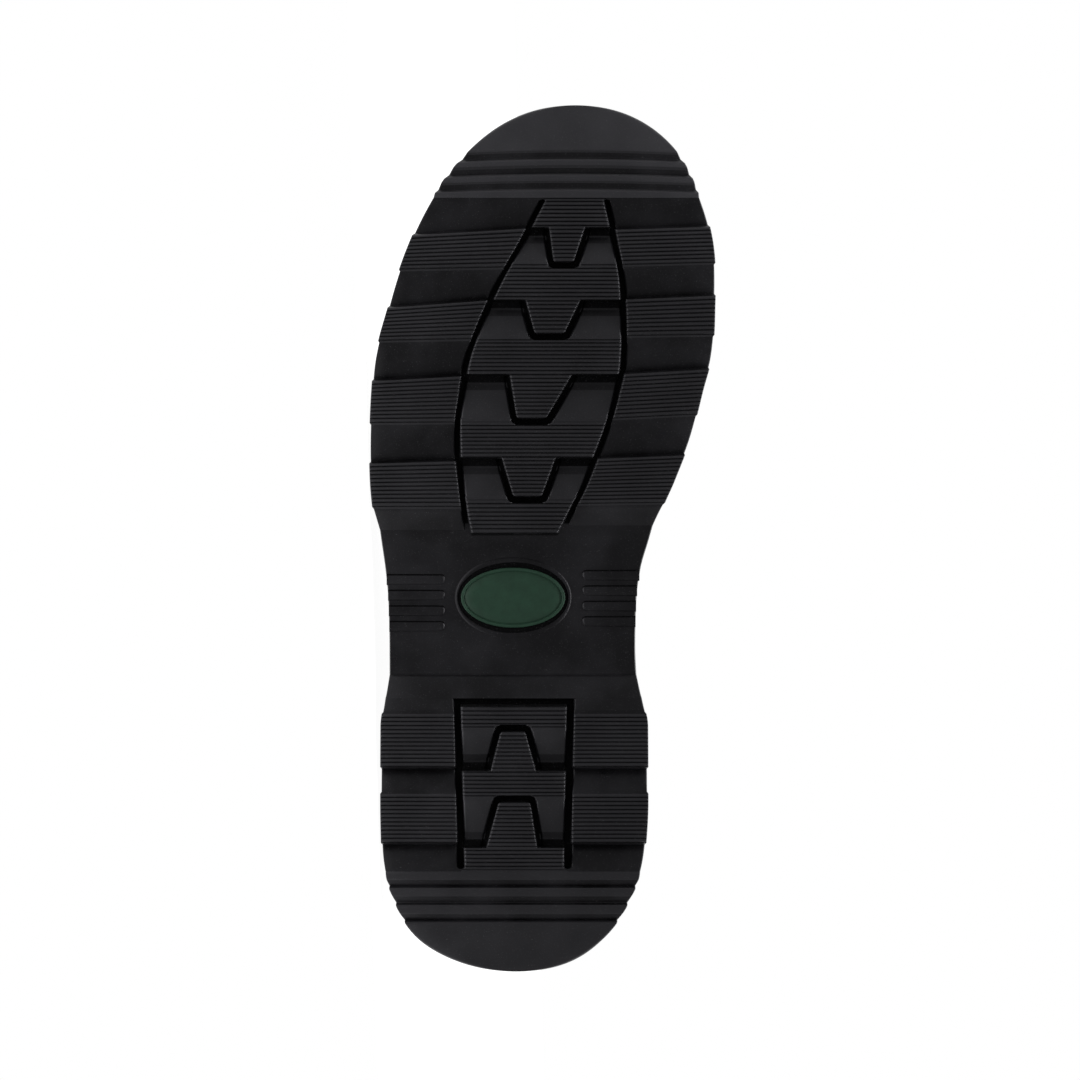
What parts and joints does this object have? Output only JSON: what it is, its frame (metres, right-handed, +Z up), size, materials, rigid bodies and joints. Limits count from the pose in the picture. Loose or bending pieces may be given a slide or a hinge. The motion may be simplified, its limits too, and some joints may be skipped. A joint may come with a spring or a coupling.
{
  "type": "work boot",
  "caption": "Black leather lace-up work boot for the right foot with a lugged rubber outsole and a bare oval badge in its waist, lying on its outer side.",
  "frame": {"origin": "on the floor, below the middle of the bounding box", "axes": "+Z up, +X from the toe towards the heel, and the tread faces -Y"},
  "size_m": [0.3034, 0.191, 0.1235],
  "materials": {
    "sole_rubber": "moulded black rubber, satin",
    "badge_rubber": "dark green rubber, satin",
    "welt": "black welt leather",
    "insole": "grey fabric-covered insole",
    "leather": "smooth black full-grain leather",
    "tongue": "soft black leather",
    "eyelet": "dark plated metal",
    "lace": "woven black cord"
  },
  "bodies": {
    "root": {"outsole": "sole_rubber", "badge": "badge_rubber", "welt": "welt", "insole": "insole", "upper": "leather", "tongue": "tongue", "eyelet_lateral_1": "eyelet", "eyelet_lateral_2": "eyelet", "eyelet_lateral_3": "eyelet", "eyelet_lateral_4": "eyelet", "eyelet_lateral_5": "eyelet", "eyelet_lateral_6": "eyelet", "eyelet_medial_1": "eyelet", "eyelet_medial_2": "eyelet", "eyelet_medial_3": "eyelet", "eyelet_medial_4": "eyelet", "eyelet_medial_5": "eyelet", "eyelet_medial_6": "eyelet", "lace_bar": "lace", "lace_cross_1": "lace", "lace_cross_2": "lace", "lace_cross_3": "lace", "lace_cross_4": "lace", "lace_cross_5": "lace"}
  },
  "joints": []
}
